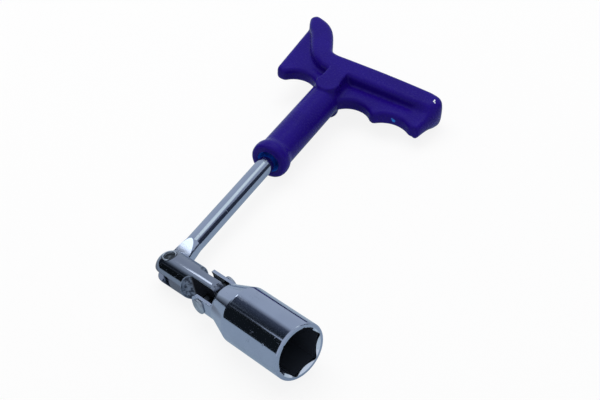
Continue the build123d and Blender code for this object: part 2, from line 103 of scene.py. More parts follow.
class NodeTree:
    """A node tree that is filled one node at a time.

    Args:
        tree: The shader node tree to fill.
    """

    def __init__(self, tree: bpy.types.NodeTree) -> None:
        """Keep the tree."""
        self.tree = tree

    def add(self, kind: str, **settings: Any) -> bpy.types.Node:
        """Add one node.

        Args:
            kind: Blender's node type, such as ShaderNodeMath.
            **settings: Properties of the node, or socket values under the socket's name
                with spaces as underscores.

        Returns:
            The new node.
        """
        node = self.tree.nodes.new(kind)
        for key, value in settings.items():
            if hasattr(node, key):
                setattr(node, key, value)
            else:
                self.feed(node, key.replace("_", " "), value)
        return node

    def feed(self, node: bpy.types.Node, name: str | int, value: Any) -> None:
        """Give one input socket a value or a link.

        Args:
            node: The node whose input is set.
            name: The input's name or number.
            value: A number, a vector, a colour or another node's output socket.
        """
        socket = node.inputs[name]
        if isinstance(value, Wire):
            self.tree.links.new(value, socket)
        elif socket.type == "RGBA" and len(value) == 3:
            socket.default_value = (*value, 1.0)
        else:
            socket.default_value = value

    def math(self, operation: str, *values: Any, clamp: bool = False) -> Wire:
        """Add a maths node.

        Args:
            operation: The operation, such as MULTIPLY.
            *values: Its inputs, as numbers or sockets.
            clamp: Whether the result is kept between 0 and 1.

        Returns:
            The result's socket.
        """
        node = self.add("ShaderNodeMath", operation=operation, use_clamp=clamp)
        for place, value in enumerate(values):
            self.feed(node, place, value)
        return node.outputs[0]

    def vector(self, operation: str, *values: Any) -> bpy.types.Node:
        """Add a vector maths node.

        Args:
            operation: The operation, such as DOT_PRODUCT.
            *values: Its inputs, as vectors or sockets.

        Returns:
            The new node, whose outputs are Vector and Value.
        """
        node = self.add("ShaderNodeVectorMath", operation=operation)
        for place, value in enumerate(values):
            self.feed(node, place, value)
        return node

    def ramp(
        self, value: Any, low: float, high: float, to_low: float = 0.0, to_high: float = 1.0
    ) -> Wire:
        """Map a value smoothly from one range to another.

        Args:
            value: The socket to map.
            low: Value that gives to_low.
            high: Value that gives to_high.
            to_low: Result at low.
            to_high: Result at high.

        Returns:
            The mapped value's socket.
        """
        node = self.add("ShaderNodeMapRange", interpolation_type="SMOOTHSTEP")
        names = ("Value", "From Min", "From Max", "To Min", "To Max")
        for name, given in zip(names, (value, low, high, to_low, to_high)):
            self.feed(node, name, given)
        return node.outputs["Result"]

    def blend(self, factor: Any, first: Any, second: Any) -> Wire:
        """Blend two colours.

        Args:
            factor: Share of the second colour.
            first: Colour or socket at factor 0.
            second: Colour or socket at factor 1.

        Returns:
            The blended colour's socket.
        """
        node = self.add("ShaderNodeMix", data_type="RGBA")
        self.feed(node, 0, factor)
        self.feed(node, MIX_FIRST, first)
        self.feed(node, MIX_SECOND, second)
        return node.outputs[MIX_RESULT]

    def noise(self, place: Any, scale: Any, detail: float, roughness: float = 0.5) -> Wire:
        """Add a noise texture.

        Args:
            place: Where the noise is read.
            scale: Its scale.
            detail: How many finer layers it has.
            roughness: Share of each finer layer.

        Returns:
            The noise, from 0 to 1.
        """
        node = self.add(
            "ShaderNodeTexNoise", Vector=place, Scale=scale, Detail=detail, Roughness=roughness
        )
        return node.outputs["Fac"]

    def bump(self, height: Wire, strength: float, distance: float, **settings: Any) -> Wire:
        """Add a bump.

        Args:
            height: Height of the surface, from 0 to 1.
            strength: Share of the bump.
            distance: Depth of the height's full range, in metres.
            **settings: Other inputs of the node, such as Normal.

        Returns:
            The bumped normal's socket.
        """
        node = self.add(
            "ShaderNodeBump", Strength=strength, Distance=distance, Height=height, **settings
        )
        return node.outputs[0]

    def dot(self, first: Any, second: Any) -> Wire:
        """Return the dot product of two vectors."""
        return self.vector("DOT_PRODUCT", first, second).outputs["Value"]

    def distance(self, place: Wire, centre: Vector) -> Wire:
        """Return how far a place is from a point."""
        return self.vector("DISTANCE", place, tuple(centre)).outputs["Value"]

    def offset(self, place: Wire, centre: Vector) -> Wire:
        """Return the vector from a point to a place."""
        return self.vector("SUBTRACT", place, tuple(centre)).outputs[0]

    def off_line(self, place: Wire, centre: Vector, line: Vector) -> Wire:
        """Return how far a place is from the line through a point."""
        across = self.vector("CROSS_PRODUCT", self.offset(place, centre), tuple(line))
        return self.vector("LENGTH", across.outputs[0]).outputs["Value"]


@dataclass(frozen=True)
class Effect:
    """A shader node group that several finishes share.

    Attributes:
        name: The group's name.
        inputs: Name, socket type and default of each input.
        outputs: Name and socket type of each output.
    """

    name: str
    inputs: tuple[tuple[str, str, Any], ...]
    outputs: tuple[tuple[str, str], ...]

    def group(self) -> bpy.types.NodeTree:
        """Build the group at its first use.

        Returns:
            The group's tree.
        """
        ready = bpy.data.node_groups.get(self.name)
        if ready:
            return ready
        tree = bpy.data.node_groups.new(self.name, "ShaderNodeTree")
        for name, kind, default in self.inputs:
            socket = tree.interface.new_socket(name=name, in_out="INPUT", socket_type=kind)
            if default is not None:
                socket.default_value = default
        for name, kind in self.outputs:
            tree.interface.new_socket(name=name, in_out="OUTPUT", socket_type=kind)
        nodes = NodeTree(tree)
        given = nodes.add("NodeGroupInput").outputs
        result = nodes.add("NodeGroupOutput")
        for name, socket in self.fill(nodes, given).items():
            nodes.feed(result, name, socket)
        return tree

    def fill(self, nodes: NodeTree, given: Any) -> dict[str, Wire]:
        """Build the group's inside.

        Args:
            nodes: The group's tree.
            given: The group's inputs, as sockets by name.

        Returns:
            The socket that feeds each output.
        """
        raise NotImplementedError

    def place(self, nodes: NodeTree, **values: Any) -> Any:
        """Put the group in a material.

        Args:
            nodes: The material's tree.
            **values: Values or sockets of the group's inputs.

        Returns:
            The placed group's outputs.
        """
        node = nodes.add("ShaderNodeGroup", node_tree=self.group())
        for name, value in values.items():
            nodes.feed(node, name.replace("_", " "), value)
        return node.outputs


@dataclass(frozen=True)
class EdgeWear(Effect):
    """Finds the edges of a piece, broken up by grain, where metal rubs bright.

    Attributes:
        edge_starts: Agreement of the rounded and the true normal at which an edge starts.
        edge_full: Agreement at which it is full.
        grain_range: Range of the grain in which the wear fades in.
    """

    name: str = "Edge wear"
    inputs: tuple = (
        ("Vector", "NodeSocketVector", None),
        ("Radius", "NodeSocketFloat", 0.0004),
        ("Grain", "NodeSocketFloat", 900.0),
    )
    outputs: tuple = (("Mask", "NodeSocketFloat"), ("Normal", "NodeSocketVector"))
    edge_starts: float = 0.998
    edge_full: float = 0.90
    grain_range: tuple[float, float] = (0.30, 0.62)

    def fill(self, nodes: NodeTree, given: Any) -> dict[str, Wire]:
        """Compare the rounded normal with the true one and break the result up.

        Args:
            nodes: The group's tree.
            given: The group's inputs, as sockets by name.

        Returns:
            The mask of the worn edges and the rounded normal.
        """
        rounded = nodes.add("ShaderNodeBevel", samples=6, Radius=given["Radius"])
        true = nodes.add("ShaderNodeNewGeometry").outputs["Normal"]
        agreement = nodes.dot(rounded.outputs[0], true)
        edge = nodes.ramp(agreement, self.edge_starts, self.edge_full)
        grain = nodes.noise(given["Vector"], given["Grain"], detail=4.0)
        broken = nodes.math("MULTIPLY", edge, nodes.ramp(grain, *self.grain_range))
        return {"Mask": broken, "Normal": rounded.outputs[0]}


@dataclass(frozen=True)
class Mottle(Effect):
    """Soft cloudiness on two scales, for handling marks and uneven plate.

    Attributes:
        cloud_range: Range of the noise that becomes a cloud.
    """

    name: str = "Mottle"
    inputs: tuple = (
        ("Vector", "NodeSocketVector", None),
        ("Broad", "NodeSocketFloat", 60.0),
        ("Fine", "NodeSocketFloat", 700.0),
    )
    outputs: tuple = (("Broad", "NodeSocketFloat"), ("Fine", "NodeSocketFloat"))
    cloud_range: tuple[float, float] = (0.30, 0.70)

    def fill(self, nodes: NodeTree, given: Any) -> dict[str, Wire]:
        """Build the two clouds.

        Args:
            nodes: The group's tree.
            given: The group's inputs, as sockets by name.

        Returns:
            The broad and the fine cloud.
        """
        broad = nodes.noise(given["Vector"], given["Broad"], detail=3.0)
        fine = nodes.noise(given["Vector"], given["Fine"], detail=6.0, roughness=0.62)
        return {
            "Broad": nodes.ramp(broad, *self.cloud_range),
            "Fine": nodes.ramp(fine, *self.cloud_range),
        }


@dataclass(frozen=True)
class Scratches(Effect):
    """Fine short scratches in two directions, and a few deeper nicks.

    Attributes:
        directions: Turn and stretch of the noise that makes each set of scratches.
        tilt: Turn about X and about Y, as shares of the turn about Z.
        cloud_scale: Scale of the clouds that cut them short.
        pit_scale: Scale of the nicks.
        pit_size: Size of a nick in its cell.
        lines_above: Cloud above which a scratch shows.
        nicks_above: Cloud above which a nick shows.
    """

    name: str = "Scratches"
    inputs: tuple = (
        ("Vector", "NodeSocketVector", None),
        ("Density", "NodeSocketFloat", 1.0),
        ("Width", "NodeSocketFloat", 0.012),
    )
    outputs: tuple = (("Lines", "NodeSocketFloat"), ("Nicks", "NodeSocketFloat"))
    directions: tuple[tuple[float, Place], ...] = (
        (0.5, (260.0, 9.0, 260.0)),
        (-0.9, (11.0, 330.0, 330.0)),
    )
    tilt: tuple[float, float] = (0.4, 0.7)
    cloud_scale: float = 210.0
    pit_scale: float = 420.0
    pit_size: float = 0.10
    lines_above: float = 0.60
    nicks_above: float = 0.56

    def fill(self, nodes: NodeTree, given: Any) -> dict[str, Wire]:
        """Stretch noise into lines, cut them short with clouds, and add small pits.

        Args:
            nodes: The group's tree.
            given: The group's inputs, as sockets by name.

        Returns:
            The masks of the lines and of the pits.
        """
        place = given["Vector"]
        lines: list[Wire] = []
        for turn, stretch in self.directions:
            turned = nodes.add("ShaderNodeMapping", Vector=place, Scale=stretch)
            nodes.feed(turned, "Rotation", (turn * self.tilt[0], turn * self.tilt[1], turn))
            noise = nodes.noise(turned.outputs[0], scale=1.0, detail=1.0)
            off = nodes.math("ABSOLUTE", nodes.math("SUBTRACT", noise, 0.5))
            lines.append(nodes.math("LESS_THAN", off, given["Width"]))
        both = nodes.math("MAXIMUM", *lines)
        clouds = nodes.noise(place, self.cloud_scale, detail=2.0)
        thick = nodes.math("MULTIPLY", clouds, given["Density"])
        cells = nodes.add("ShaderNodeTexVoronoi", Vector=place, Scale=self.pit_scale)
        pits = nodes.math("LESS_THAN", cells.outputs["Distance"], self.pit_size)
        with_lines = nodes.math("GREATER_THAN", thick, self.lines_above)
        with_nicks = nodes.math("GREATER_THAN", thick, self.nicks_above)
        return {
            "Lines": nodes.math("MULTIPLY", both, with_lines),
            "Nicks": nodes.math("MULTIPLY", pits, with_nicks),
        }


class Finish:
    """A finish that can be put on meshes. Subclasses build its shader."""

    name: str

    def shade(self, nodes: NodeTree, shader: bpy.types.Node, place: Wire) -> None:
        """Wire the shader of this finish.

        Args:
            nodes: The material's tree.
            shader: Its Principled BSDF.
            place: Place on the surface, in the piece's own space.
        """
        raise NotImplementedError

    def material(self) -> bpy.types.Material:
        """Build the finish's material at its first use.

        Returns:
            The material.
        """
        ready = bpy.data.materials.get(self.name)
        if ready:
            return ready
        material = bpy.data.materials.new(self.name)
        material.use_nodes = True
        nodes = NodeTree(material.node_tree)
        shader = material.node_tree.nodes["Principled BSDF"]
        place = nodes.add("ShaderNodeTexCoord").outputs["Object"]
        self.shade(nodes, shader, place)
        return material

    def dress(self, piece: bpy.types.Object) -> None:
        """Give a piece this finish as its only material.

        Args:
            piece: The mesh object to dress.
        """
        piece.data.materials.clear()
        piece.data.materials.append(self.material())


@dataclass(frozen=True)
class MouldedPlastic(Finish):
    """Glossy injection-moulded plastic with handling marks.

    Attributes:
        name: Material name.
        colour: Main colour.
        deep: Colour of its darker clouds.
        pale: Colour of rubbed edges and scratches.
        mouth: Painted light, a brighter blue, on the thin wall inside the sleeve's mouth.
        roughness: Roughness of the clean skin.
        gloss: Specular level of the skin.
        refraction: Its index of refraction.
        mouth_radius: Radius of the recess in the sleeve's mouth.
        mouth_depth: Depth at which that radius is taken.
        mouth_fade: Width of the recess's soft border.
        scratch_tint: Share of the pale colour in a scratch.
        scratch_rough: Roughness that a scratch adds.
        cloud_rough: Roughness that a fine cloud adds.
        peel_depth: Depth of the orange-peel skin.
        chip_and_glint_border: Outer and inner border of a chip or glint, as shares of its
            radius.
        chips_and_glints: Place and radius in millimetres, and colour, of each chip and painted
            glint.
    """

    name: str = "Moulded blue plastic"
    colour: Colour = (0.0124, 0.0030, 0.180)
    deep: Colour = (0.0100, 0.0022, 0.148)
    pale: Colour = (0.10, 0.09, 0.50)
    # Painted light: light shining through the thin wall inside the sleeve's mouth.
    mouth: Colour = (0.010, 0.110, 0.620)
    roughness: float = 0.22
    gloss: float = 0.11
    refraction: float = 1.46
    mouth_radius: float = 6.4 * MM
    mouth_depth: float = 2.0 * MM
    mouth_fade: float = 0.6 * MM
    scratch_tint: float = 0.25
    scratch_rough: float = 0.15
    cloud_rough: float = 0.08
    peel_depth: float = 0.02 * MM
    chip_and_glint_border: tuple[float, float] = (1.6, 1.3)
    chips_and_glints: tuple[tuple[Place, float, Colour], ...] = (
        ((4.62, 89.25, 17.45), 0.50, (0.74, 0.77, 0.84)),
        ((4.95, 88.35, 17.32), 0.50, (0.74, 0.77, 0.84)),
        ((5.75, 88.25, 17.08), 0.45, (0.60, 0.64, 0.76)),
        # Painted highlight: the two blue spots below are a light-blue glint.
        ((-4.9, 69.1, 9.9), 0.95, (0.020, 0.200, 0.700)),
        ((-5.6, 68.6, 10.9), 0.60, (0.030, 0.160, 0.560)),
    )

    def shade(self, nodes: NodeTree, shader: bpy.types.Node, place: Wire) -> None:
        """Wire cloudy colour, chipped spots, painted light, a faint orange-peel skin and fine
        scratches.

        Args:
            nodes: The material's tree.
            shader: Its Principled BSDF.
            place: Place on the surface, in the piece's own space.
        """
        clouds = Mottle().place(nodes, Vector=place, Broad=45.0, Fine=900.0)
        marks = Scratches().place(nodes, Vector=place, Density=0.84, Width=0.004)
        body = nodes.blend(clouds["Broad"], self.colour, self.deep)
        scratched = nodes.math("MULTIPLY", marks["Lines"], self.scratch_tint)
        worn = nodes.blend(scratched, body, self.pale)
        # Chips are wear; the two blue spots are painted highlight, a glint.
        for centre, radius, colour in self.chips_and_glints:
            chip = self.chip_and_glint_mask(nodes, place, Vector(centre) * MM, radius * MM)
            worn = nodes.blend(chip, worn, colour)
        # Painted light: the thin wall inside the sleeve's mouth turns brighter blue.
        mouth = nodes.distance(place, SLEEVE_MOUTH + SHAFT_LINE * self.mouth_depth)
        recess = nodes.ramp(mouth, self.mouth_radius, self.mouth_radius - self.mouth_fade)
        nodes.feed(shader, "Base Color", nodes.blend(recess, worn, self.mouth))
        clean = nodes.math("MULTIPLY_ADD", clouds["Fine"], self.cloud_rough, self.roughness)
        rough = nodes.math("MULTIPLY_ADD", marks["Lines"], self.scratch_rough, clean)
        nodes.feed(shader, "Roughness", rough)
        peel = nodes.noise(place, scale=420.0, detail=2.0)
        normal = nodes.bump(peel, strength=0.05, distance=self.peel_depth)
        nodes.feed(shader, "Normal", normal)
        shader.inputs["IOR"].default_value = self.refraction
        shader.inputs["Specular IOR Level"].default_value = self.gloss

    def chip_and_glint_mask(self, nodes: NodeTree, place: Wire, centre: Vector, radius: float) -> Wire:
        """Return a mask of one ragged chip or painted glint.

        Args:
            nodes: The material's tree.
            place: Place on the surface.
            centre: Middle of the chip or glint.
            radius: Its mean radius.

        Returns:
            The mask's socket.
        """
        ragged = nodes.noise(place, scale=1800.0, detail=2.0)
        away = nodes.math("MULTIPLY_ADD", ragged, radius, nodes.distance(place, centre))
        outer, inner = self.chip_and_glint_border
        return nodes.ramp(away, radius * outer, radius * inner)


@dataclass(frozen=True)
class ChromePlate(Finish):
    """Bright plate with soft cloudiness, small scratches and rubbed edges.

    Attributes:
        name: Material name.
        colour: Colour of the clean plate.
        dull: Colour where the plate is clouded or scratched.
        rubbed: Colour of its edges.
        roughness: Roughness of the clean plate.
        scratched: How scratched the piece is, where 1 is average.
        bare_gloss: Specular level of walls that have no plate.
        cloud_tint: Share of the dull colour in a cloud.
        rubbed_tint: Share of the rubbed colour on an edge.
        mark_tint: Share of the dull colour in a scratch or nick.
        cloud_rough: Roughness that a fine cloud adds.
        mark_rough: Roughness that a scratch or nick adds.
        wave_depth: Depth to which the shares below are measured.
        wave_share: Height of the waves in the plate.
        mark_share: Depth of its scratches and nicks.
    """

    name: str = "Chrome plate"
    colour: Colour = (0.42, 0.47, 0.58)
    dull: Colour = (0.30, 0.34, 0.43)
    rubbed: Colour = (0.60, 0.64, 0.72)
    roughness: float = 0.06
    scratched: float = 1.0
    bare_gloss: float = 0.12
    cloud_tint: float = 0.18
    rubbed_tint: float = 0.35
    mark_tint: float = 0.45
    cloud_rough: float = 0.05
    mark_rough: float = 0.28
    wave_depth: float = 0.03 * MM
    wave_share: float = 0.6
    mark_share: float = 0.5

    def shade(self, nodes: NodeTree, shader: bpy.types.Node, place: Wire) -> None:
        """Wire the plate.

        Args:
            nodes: The material's tree.
            shader: Its Principled BSDF.
            place: Place on the surface, in the piece's own space.
        """
        wear = EdgeWear().place(nodes, Vector=place, Radius=0.0003, Grain=900.0)
        clouds = Mottle().place(nodes, Vector=place, Broad=110.0, Fine=1500.0)
        marks = Scratches().place(nodes, Vector=place, Density=self.scratched, Width=0.010)
        spots = nodes.math("MAXIMUM", marks["Lines"], marks["Nicks"])
        clouded = nodes.math("MULTIPLY", clouds["Broad"], self.cloud_tint)
        tone = nodes.blend(clouded, self.colour, self.dull)
        edge = nodes.math("MULTIPLY", wear["Mask"], self.rubbed_tint)
        edged = nodes.blend(edge, tone, self.rubbed)
        marked = nodes.blend(nodes.math("MULTIPLY", spots, self.mark_tint), edged, self.dull)
        nodes.feed(shader, "Base Color", self.tint(nodes, place, marked))
        clean = nodes.math("MULTIPLY_ADD", clouds["Fine"], self.cloud_rough, self.roughness)
        rough = nodes.math("MULTIPLY_ADD", spots, self.mark_rough, clean)
        nodes.feed(shader, "Roughness", self.roughen(nodes, place, rough))
        waves = nodes.math("MULTIPLY", clouds["Broad"], self.wave_share)
        height = nodes.math("MULTIPLY_ADD", spots, -self.mark_share, waves)
        normal = nodes.bump(
            height, strength=0.18, distance=self.wave_depth, Normal=wear["Normal"]
        )
        nodes.feed(shader, "Normal", normal)
        nodes.feed(shader, "Metallic", self.plated(nodes, place))
        shader.inputs["Specular IOR Level"].default_value = self.bare_gloss

    def plated(self, nodes: NodeTree, place: Wire) -> Any:
        """Return how metallic the surface is, changed where a subclass has bare walls."""
        return 1.0

    def tint(self, nodes: NodeTree, place: Wire, colour: Wire) -> Wire:
        """Return the colour, changed where a subclass paints another finish, shade or highlight.
        """
        return colour

    def roughen(self, nodes: NodeTree, place: Wire, rough: Wire) -> Wire:
        """Return the roughness, changed where a subclass has another finish."""
        return rough


@dataclass(frozen=True)
class BoredChrome(ChromePlate):
    """Bright plate outside, and unpolished steel with painted shade on the walls that face the
    bore.

    Attributes:
        inner: Painted shade of the bore: its dark colour.
        lead: Depth from the mouth in which the bore is still bright.
        lead_highlight: Painted highlight on that bright length.
        inward: Agreement of a wall's normal with the way outward below which it is inside.
        bore_rough: Roughness that the bore adds.
        plate_lost: Share of the plate that the bore lacks.
    """

    name: str = "Chrome plate with dark bore"
    # Painted shade: the dark colour of the bore's walls.
    inner: Colour = (0.034, 0.042, 0.060)
    lead: float = 1.4 * MM
    # Painted highlight: the bright lead-in at the socket's mouth.
    lead_highlight: Colour = (0.80, 0.84, 0.90)
    inward: float = -0.3
    bore_rough: float = 0.3
    plate_lost: float = 0.85

    def walls(self, nodes: NodeTree, place: Wire) -> tuple[Wire, Wire]:
        """Find the walls that face the socket's line.

        Args:
            nodes: The material's tree.
            place: Place on the surface.

        Returns:
            A mask of those walls, and how far out along the line a place is.
        """
        from_mouth = nodes.offset(place, MOUTH_CENTRE)
        along = nodes.dot(from_mouth, tuple(SOCKET_LINE))
        on_line = nodes.vector("SCALE", tuple(SOCKET_LINE))
        nodes.feed(on_line, "Scale", along)
        outward = nodes.vector("SUBTRACT", from_mouth, on_line.outputs[0]).outputs[0]
        facing = nodes.add("ShaderNodeTexCoord").outputs["Normal"]
        towards = nodes.dot(nodes.vector("NORMALIZE", outward).outputs[0], facing)
        return nodes.math("LESS_THAN", towards, self.inward), along

    def depth_mask(self, nodes: NodeTree, place: Wire) -> Wire:
        """Return a mask of the walls that face the middle line, behind the lead-in."""
        walls, along = self.walls(nodes, place)
        return nodes.math("MULTIPLY", walls, nodes.math("LESS_THAN", along, -self.lead))

    def lead_mask(self, nodes: NodeTree, place: Wire) -> Wire:
        """Return a mask of the walls that face the middle line, down to the lead-in's end."""
        walls, along = self.walls(nodes, place)
        return nodes.math("MULTIPLY", walls, nodes.math("GREATER_THAN", along, -self.lead))

    def tint(self, nodes: NodeTree, place: Wire, colour: Wire) -> Wire:
        """Paint shade into the bore and a highlight on the lead-in at its mouth."""
        # Painted highlight on the lead-in, and painted shade in the bore behind it.
        bright = nodes.blend(self.lead_mask(nodes, place), colour, self.lead_highlight)
        return nodes.blend(self.depth_mask(nodes, place), bright, self.inner)

    def roughen(self, nodes: NodeTree, place: Wire, rough: Wire) -> Wire:
        """Roughen the bore."""
        return nodes.math("MULTIPLY_ADD", self.depth_mask(nodes, place), self.bore_rough, rough)

    def plated(self, nodes: NodeTree, place: Wire) -> Any:
        """Leave the bore bare and dull."""
        return nodes.math("MULTIPLY_ADD", self.depth_mask(nodes, place), -self.plate_lost, 1.0)


@dataclass(frozen=True)
class MilledChrome(ChromePlate):
    """Darker plate, with painted shade on the flats and grey cutter steps where the link was
    milled.

    Attributes:
        flat: Painted shade on the milled flats, near black.
        step: Colour of the cutter's round steps.
        cloud: Colour of their dark clouds.
        reach: Radius inside which a surface was milled.
        start: Distance from the shaft's pin at which the milling starts.
        flat_range: Range of facing sideways in which a step turns into a flat.
        cloud_range: Range of the noise that becomes a dark cloud.
        seat_radius: Radius of the line of painted shade in the gap round the shaft pin's ends.
        seat_fade: Width of that line's soft border.
        seat_shade_share: Share of the painted shade in it.
        milled_rough: Roughness that milling adds.
    """

    name: str = "Chrome plate with milled flats"
    # Painted shade: the link's plate and its dull clouds are darker copies of the shaft's
    # chrome.
    colour: Colour = (0.275, 0.305, 0.375)
    dull: Colour = (0.20, 0.225, 0.28)
    bare_gloss: float = 0.0
    # Painted shade: near black on the milled flats, which lie in the joint's shade.
    flat: Colour = (0.010, 0.012, 0.017)
    step: Colour = (0.27, 0.30, 0.37)
    cloud: Colour = (0.055, 0.062, 0.085)
    reach: float = 7.6 * MM
    start: float = 15.0 * MM
    flat_range: tuple[float, float] = (0.90, 0.99)
    cloud_range: tuple[float, float] = (0.42, 0.58)
    # Painted shade: a dark line in the gap round the shaft pin's ends.
    seat_radius: float = 3.7 * MM
    seat_fade: float = 0.25 * MM
    seat_shade_share: float = 0.85
    milled_rough: float = 0.30

    def milled(self, nodes: NodeTree, place: Wire) -> tuple[Wire, Wire]:
        """Find the surfaces that the cutter left.

        Args:
            nodes: The material's tree.
            place: Place on the surface.

        Returns:
            A mask of the flats and one of the steps.
        """
        from_pin = nodes.offset(place, SHAFT_PIN_CENTRE)
        along = nodes.dot(from_pin, tuple(LINK_LINE))
        across = nodes.dot(from_pin, tuple(LINK_ACROSS))
        above = nodes.dot(from_pin, tuple(LINK_UP))
        sides = [nodes.math("MULTIPLY", way, way) for way in (across, above)]
        inside = nodes.math("LESS_THAN", nodes.math("ADD", *sides), self.reach * self.reach)
        cut = nodes.math("MULTIPLY", inside, nodes.math("GREATER_THAN", along, self.start))
        facing = nodes.add("ShaderNodeTexCoord").outputs["Normal"]
        sideways = nodes.math("ABSOLUTE", nodes.dot(facing, tuple(LINK_ACROSS)))
        flat = nodes.ramp(sideways, *self.flat_range)
        step = nodes.math("SUBTRACT", 1.0, flat)
        return nodes.math("MULTIPLY", cut, flat), nodes.math("MULTIPLY", cut, step)

    def tint(self, nodes: NodeTree, place: Wire, colour: Wire) -> Wire:
        """Paint shade on the flats and round the shaft pin's ends, and grey the steps.

        Args:
            nodes: The material's tree.
            place: Place on the surface.
            colour: Colour of the plate.

        Returns:
            The colour with the painted shade and the milled steps in it.
        """
        flat, step = self.milled(nodes, place)
        noise = nodes.noise(place, scale=520.0, detail=5.0, roughness=0.65)
        grey = nodes.blend(nodes.ramp(noise, *self.cloud_range), self.step, self.cloud)
        # Painted shade: the flats turn near black.
        milled = nodes.blend(flat, nodes.blend(step, colour, grey), self.flat)
        # Painted shade in the gap round the shaft pin's ends.
        return nodes.blend(self.seat_shade(nodes, place), milled, self.flat)

    def seat_shade(self, nodes: NodeTree, place: Wire) -> Wire:
        """Find the line of painted shade in the gap round the shaft pin's ends.

        Args:
            nodes: The material's tree.
            place: Place on the surface.

        Returns:
            A mask of that line.
        """
        away = nodes.off_line(place, SHAFT_PIN_CENTRE, LINK_UP)
        line = nodes.ramp(away, self.seat_radius + self.seat_fade, self.seat_radius)
        return nodes.math("MULTIPLY", line, self.seat_shade_share)

    def plated(self, nodes: NodeTree, place: Wire) -> Any:
        """Leave the flats bare; their black is painted shade."""
        return nodes.math("SUBTRACT", 1.0, self.milled(nodes, place)[0])

    def roughen(self, nodes: NodeTree, place: Wire, rough: Wire) -> Wire:
        """Roughen the milled surfaces."""
        milled = nodes.math("ADD", *self.milled(nodes, place))
        return nodes.math("MULTIPLY_ADD", milled, self.milled_rough, rough)


@dataclass(frozen=True)
class RivetSteel(Finish):
    """Plain steel of the riveted pins, hammered and a little dirty.

    Attributes:
        name: Material name.
        colour: Colour of the bright steel.
        dirt: Colour of the dirt in its hollows.
        rubbed: Colour of its edges.
        roughness: Roughness of the clean steel.
        dirt_tint: Share of the dirt in a cloud.
        rubbed_tint: Share of the rubbed colour on an edge.
        cloud_rough: Roughness that a fine cloud adds.
        dent_depth: Depth of its dents.
    """

    name: str = "Rivet steel"
    colour: Colour = (0.46, 0.50, 0.56)
    dirt: Colour = (0.05, 0.06, 0.07)
    rubbed: Colour = (0.66, 0.70, 0.75)
    roughness: float = 0.16
    dirt_tint: float = 0.35
    rubbed_tint: float = 0.5
    cloud_rough: float = 0.22
    dent_depth: float = 0.06 * MM

    def shade(self, nodes: NodeTree, shader: bpy.types.Node, place: Wire) -> None:
        """Wire hammered steel.

        Args:
            nodes: The material's tree.
            shader: Its Principled BSDF.
            place: Place on the surface, in the piece's own space.
        """
        wear = EdgeWear().place(nodes, Vector=place, Radius=0.0003, Grain=1200.0)
        clouds = Mottle().place(nodes, Vector=place, Broad=420.0, Fine=2600.0)
        dirt_and_shade = nodes.math("MULTIPLY", clouds["Broad"], self.dirt_tint)
        tone = self.darkened(nodes, place, nodes.blend(dirt_and_shade, self.colour, self.dirt))
        edge = nodes.math("MULTIPLY", wear["Mask"], self.rubbed_tint)
        nodes.feed(shader, "Base Color", nodes.blend(edge, tone, self.rubbed))
        rough = nodes.math("MULTIPLY_ADD", clouds["Fine"], self.cloud_rough, self.roughness)
        nodes.feed(shader, "Roughness", rough)
        normal = nodes.bump(
            clouds["Broad"], strength=0.5, distance=self.dent_depth, Normal=wear["Normal"]
        )
        nodes.feed(shader, "Normal", normal)
        shader.inputs["Metallic"].default_value = 1.0

    def darkened(self, nodes: NodeTree, place: Wire, tone: Wire) -> Wire:
        """Return the steel's colour, changed where a subclass darkens it."""
        return tone


@dataclass(frozen=True)
class EyeSteel(RivetSteel):
    """Lighter rivet steel, with painted shade in its hollow end.

    Attributes:
        hollow: Radius of the hollow that carries painted shade.
        border: Radius inside which the painted shade is full, as a share of the hollow's.
        middle_range: Radii between which the lighter middle turns to full painted shade.
        middle_share: Share of the painted shade in that middle.
        dirt_and_shade: Colour of the painted shade in the hollow.
        hollow_shade_share: Share of it where it is full.
    """

    name: str = "Hollow rivet steel"
    # Painted light: a lighter copy of the rivet steel, so that the rolled rim shows bright.
    colour: Colour = (0.62, 0.68, 0.76)
    hollow: float = 2.85 * MM
    border: float = 0.88
    middle_range: tuple[float, float] = (0.2 * MM, 1.1 * MM)
    middle_share: float = 0.80
    # Painted shade: the dark colour in the pin's hollow end.
    dirt_and_shade: Colour = (0.008, 0.012, 0.013)
    hollow_shade_share: float = 0.93

    def darkened(self, nodes: NodeTree, place: Wire, tone: Wire) -> Wire:
        """Paint shade into the hollow, but less in its middle.

        Args:
            nodes: The material's tree.
            place: Place on the surface.
            tone: Colour of the steel.

        Returns:
            The colour with the painted shade in it.
        """
        away = nodes.off_line(place, SHAFT_PIN_CENTRE, LINK_UP)
        within = nodes.ramp(away, self.hollow, self.hollow * self.border)
        around = nodes.ramp(away, *self.middle_range, self.middle_share, 1.0)
        # Painted shade in the hollow end, a little lighter at its middle.
        shaded = nodes.math("MULTIPLY", nodes.math("MULTIPLY", within, around), self.hollow_shade_share)
        return nodes.blend(shaded, tone, self.dirt_and_shade)


@dataclass(frozen=True)
class CrossPinSteel(RivetSteel):
    """Rivet steel that is darker where it crosses the joint.

    Attributes:
        dark_reach: How far the dark length reaches to both sides of the middle.
        border: Reach inside which the darkening is full, as a share of that.
        dark_tone: Colour of that length.
        dark_share: Share of it where it is full.
    """

    name: str = "Cross pin steel"
    dark_reach: float = 7.4 * MM
    border: float = 0.96
    dark_tone: Colour = (0.018, 0.021, 0.026)
    dark_share: float = 0.93

    def darkened(self, nodes: NodeTree, place: Wire, tone: Wire) -> Wire:
        """Darken the length between the socket's ears.

        Args:
            nodes: The material's tree.
            place: Place on the surface.
            tone: Colour of the steel.

        Returns:
            The colour with that darker length in it.
        """
        from_pin = nodes.offset(place, SOCKET_PIN_CENTRE)
        along = nodes.math("ABSOLUTE", nodes.dot(from_pin, tuple(LINK_ACROSS)))
        # Darker on the length between the socket's ears.
        within = nodes.ramp(along, self.dark_reach, self.dark_reach * self.border, 0.0, self.dark_share)
        return nodes.blend(within, tone, self.dark_tone)


